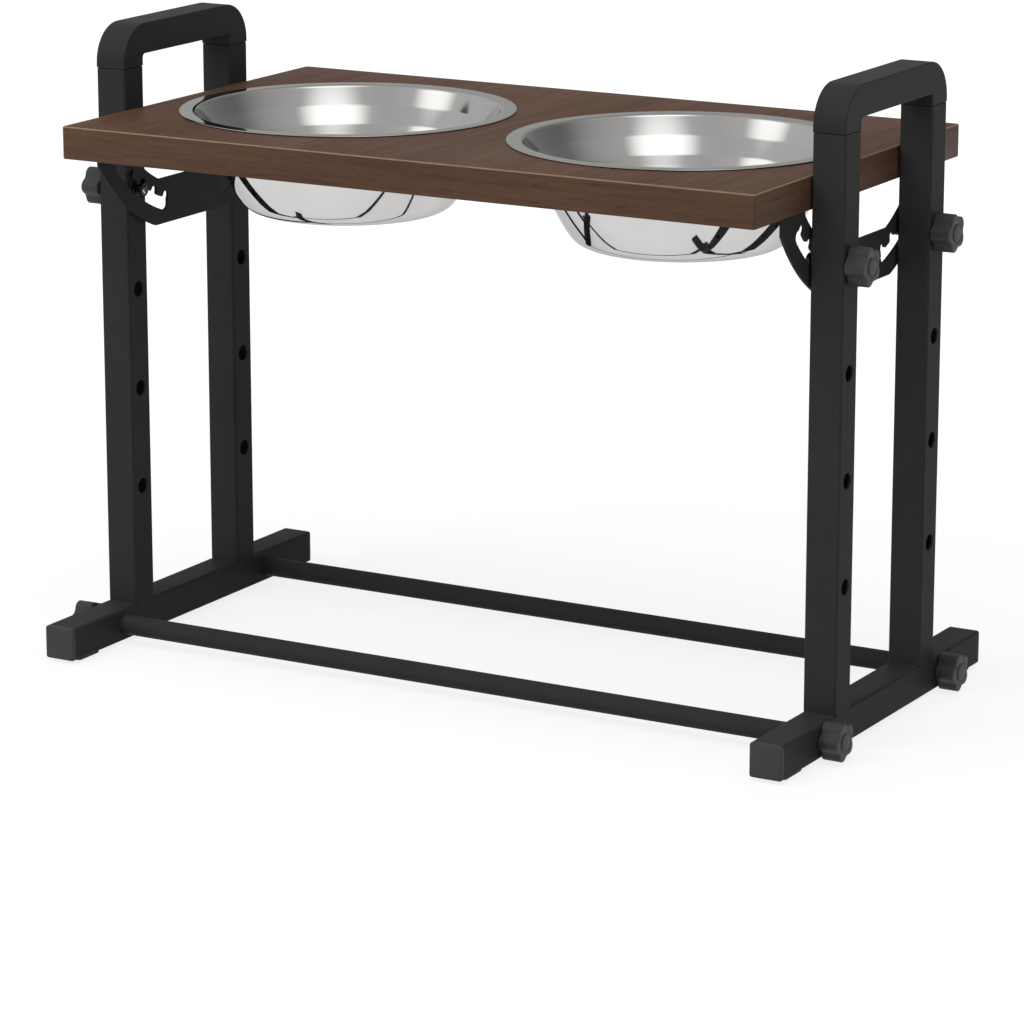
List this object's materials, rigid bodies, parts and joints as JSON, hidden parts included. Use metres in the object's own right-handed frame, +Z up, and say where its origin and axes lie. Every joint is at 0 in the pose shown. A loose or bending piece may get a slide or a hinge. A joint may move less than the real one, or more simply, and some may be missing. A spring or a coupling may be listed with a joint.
{
  "type": "dog feeder stand",
  "caption": "Raised dog feeder: a tilting wooden board with lift-out steel bowls, held by star knobs between black steel side frames with rows of height holes and carrying handles.",
  "frame": {"origin": "centre of the footprint on the floor, at the underside of the foot pads", "axes": "+X along the board to its right end seen from the front, +Y to the back, +Z up"},
  "size_m": [0.6452, 0.333, 0.468],
  "materials": {
    "powder_coated_steel": "fine matt black powder coat",
    "moulded_plastic": "fine moulded grain",
    "rubber": "matt",
    "zinc_plated_steel": "zinc plated",
    "black_oxide_steel": "black oxide",
    "walnut_board": "walnut foil on board, satin",
    "stainless_steel": "spun inside, polished outside"
  },
  "bodies": {
    "frame": {"foot_bar_left": "powder_coated_steel", "foot_caps_left": "moulded_plastic", "foot_pads_left": "rubber", "handle_left": "moulded_plastic", "foot_bar_right": "powder_coated_steel", "foot_caps_right": "moulded_plastic", "foot_pads_right": "rubber", "handle_right": "moulded_plastic", "post_front_left": "powder_coated_steel", "post_rear_left": "powder_coated_steel", "post_front_right": "powder_coated_steel", "post_rear_right": "powder_coated_steel", "cross_rod_front": "powder_coated_steel", "cross_rod_rear": "powder_coated_steel", "rod_plugs_front": "zinc_plated_steel", "rod_plugs_rear": "zinc_plated_steel", "clamp_nut_front_left": "black_oxide_steel", "clamp_nut_rear_left": "black_oxide_steel", "clamp_nut_front_right": "black_oxide_steel", "clamp_nut_rear_right": "black_oxide_steel"},
    "tray": {"board": "walnut_board", "bracket_left": "powder_coated_steel", "bracket_right": "powder_coated_steel", "bracket_screws_left": "zinc_plated_steel", "bracket_screws_right": "zinc_plated_steel"},
    "bowl_left": {"bowl_left": "stainless_steel"},
    "bowl_right": {"bowl_right": "stainless_steel"},
    "base_stud_front_left": {"base_stud_front_left": "zinc_plated_steel"},
    "base_knob_front_left": {"base_knob_front_left": "moulded_plastic"},
    "base_stud_rear_left": {"base_stud_rear_left": "zinc_plated_steel"},
    "base_knob_rear_left": {"base_knob_rear_left": "moulded_plastic"},
    "base_stud_front_right": {"base_stud_front_right": "zinc_plated_steel"},
    "base_knob_front_right": {"base_knob_front_right": "moulded_plastic"},
    "base_stud_rear_right": {"base_stud_rear_right": "zinc_plated_steel"},
    "base_knob_rear_right": {"base_knob_rear_right": "moulded_plastic"},
    "clamp_stud_front_left": {"clamp_stud_front_left": "zinc_plated_steel"},
    "clamp_knob_front_left": {"clamp_knob_front_left": "moulded_plastic"},
    "clamp_stud_rear_left": {"clamp_stud_rear_left": "zinc_plated_steel"},
    "clamp_knob_rear_left": {"clamp_knob_rear_left": "moulded_plastic"},
    "clamp_stud_front_right": {"clamp_stud_front_right": "zinc_plated_steel"},
    "clamp_knob_front_right": {"clamp_knob_front_right": "moulded_plastic"},
    "clamp_stud_rear_right": {"clamp_stud_rear_right": "zinc_plated_steel"},
    "clamp_knob_rear_right": {"clamp_knob_rear_right": "moulded_plastic"}
  },
  "joints": [
    {"name": "tray_tilt", "type": "hinge", "parent": "frame", "child": "tray", "pos_m": [0, 0, 0.45591], "axis": [1, 0, 0], "range_deg": [-15, 15]},
    {"name": "bowl_left_lift", "type": "slide", "parent": "tray", "child": "bowl_left", "axis": [0, 0, 1], "range_m": [0, 0.1]},
    {"name": "bowl_right_lift", "type": "slide", "parent": "tray", "child": "bowl_right", "axis": [0, 0, 1], "range_m": [0, 0.1]},
    {"name": "base_stud_front_left_travel", "type": "slide", "parent": "frame", "child": "base_stud_front_left", "axis": [-1, 0, 0], "range_m": [0, 0.002]},
    {"name": "base_knob_front_left_turn", "type": "hinge", "parent": "base_stud_front_left", "child": "base_knob_front_left", "pos_m": [-0.3065, -0.098, 0.015], "axis": [-1, 0, 0], "range_deg": [0, 720]},
    {"name": "base_stud_rear_left_travel", "type": "slide", "parent": "frame", "child": "base_stud_rear_left", "axis": [-1, 0, 0], "range_m": [0, 0.002]},
    {"name": "base_knob_rear_left_turn", "type": "hinge", "parent": "base_stud_rear_left", "child": "base_knob_rear_left", "pos_m": [-0.3065, 0.098, 0.015], "axis": [-1, 0, 0], "range_deg": [0, 720]},
    {"name": "base_stud_front_right_travel", "type": "slide", "parent": "frame", "child": "base_stud_front_right", "axis": [1, 0, 0], "range_m": [0, 0.002]},
    {"name": "base_knob_front_right_turn", "type": "hinge", "parent": "base_stud_front_right", "child": "base_knob_front_right", "pos_m": [0.3065, -0.098, 0.015], "axis": [1, 0, 0], "range_deg": [0, 720]},
    {"name": "base_stud_rear_right_travel", "type": "slide", "parent": "frame", "child": "base_stud_rear_right", "axis": [1, 0, 0], "range_m": [0, 0.002]},
    {"name": "base_knob_rear_right_turn", "type": "hinge", "parent": "base_stud_rear_right", "child": "base_knob_rear_right", "pos_m": [0.3065, 0.098, 0.015], "axis": [1, 0, 0], "range_deg": [0, 720]},
    {"name": "clamp_stud_front_left_travel", "type": "slide", "parent": "frame", "child": "clamp_stud_front_left", "axis": [-1, 0, 0], "range_m": [0, 0.002]},
    {"name": "clamp_knob_front_left_turn", "type": "hinge", "parent": "clamp_stud_front_left", "child": "clamp_knob_front_left", "pos_m": [-0.3065, -0.0705, 0.3455], "axis": [-1, 0, 0], "range_deg": [0, 720]},
    {"name": "clamp_stud_rear_left_travel", "type": "slide", "parent": "frame", "child": "clamp_stud_rear_left", "axis": [-1, 0, 0], "range_m": [0, 0.002]},
    {"name": "clamp_knob_rear_left_turn", "type": "hinge", "parent": "clamp_stud_rear_left", "child": "clamp_knob_rear_left", "pos_m": [-0.3065, 0.0705, 0.3455], "axis": [-1, 0, 0], "range_deg": [0, 720]},
    {"name": "clamp_stud_front_right_travel", "type": "slide", "parent": "frame", "child": "clamp_stud_front_right", "axis": [1, 0, 0], "range_m": [0, 0.002]},
    {"name": "clamp_knob_front_right_turn", "type": "hinge", "parent": "clamp_stud_front_right", "child": "clamp_knob_front_right", "pos_m": [0.3065, -0.0705, 0.3455], "axis": [1, 0, 0], "range_deg": [0, 720]},
    {"name": "clamp_stud_rear_right_travel", "type": "slide", "parent": "frame", "child": "clamp_stud_rear_right", "axis": [1, 0, 0], "range_m": [0, 0.002]},
    {"name": "clamp_knob_rear_right_turn", "type": "hinge", "parent": "clamp_stud_rear_right", "child": "clamp_knob_rear_right", "pos_m": [0.3065, 0.0705, 0.3455], "axis": [1, 0, 0], "range_deg": [0, 720]}
  ],
  "couplings": [
    {"joint": "base_knob_front_left_turn", "follows": "base_stud_front_left_travel", "rad_per_m": 6283.2},
    {"joint": "base_knob_rear_left_turn", "follows": "base_stud_rear_left_travel", "rad_per_m": 6283.2},
    {"joint": "base_knob_front_right_turn", "follows": "base_stud_front_right_travel", "rad_per_m": 6283.2},
    {"joint": "base_knob_rear_right_turn", "follows": "base_stud_rear_right_travel", "rad_per_m": 6283.2},
    {"joint": "clamp_knob_front_left_turn", "follows": "clamp_stud_front_left_travel", "rad_per_m": 6283.2},
    {"joint": "clamp_knob_rear_left_turn", "follows": "clamp_stud_rear_left_travel", "rad_per_m": 6283.2},
    {"joint": "clamp_knob_front_right_turn", "follows": "clamp_stud_front_right_travel", "rad_per_m": 6283.2},
    {"joint": "clamp_knob_rear_right_turn", "follows": "clamp_stud_rear_right_travel", "rad_per_m": 6283.2}
  ]
}
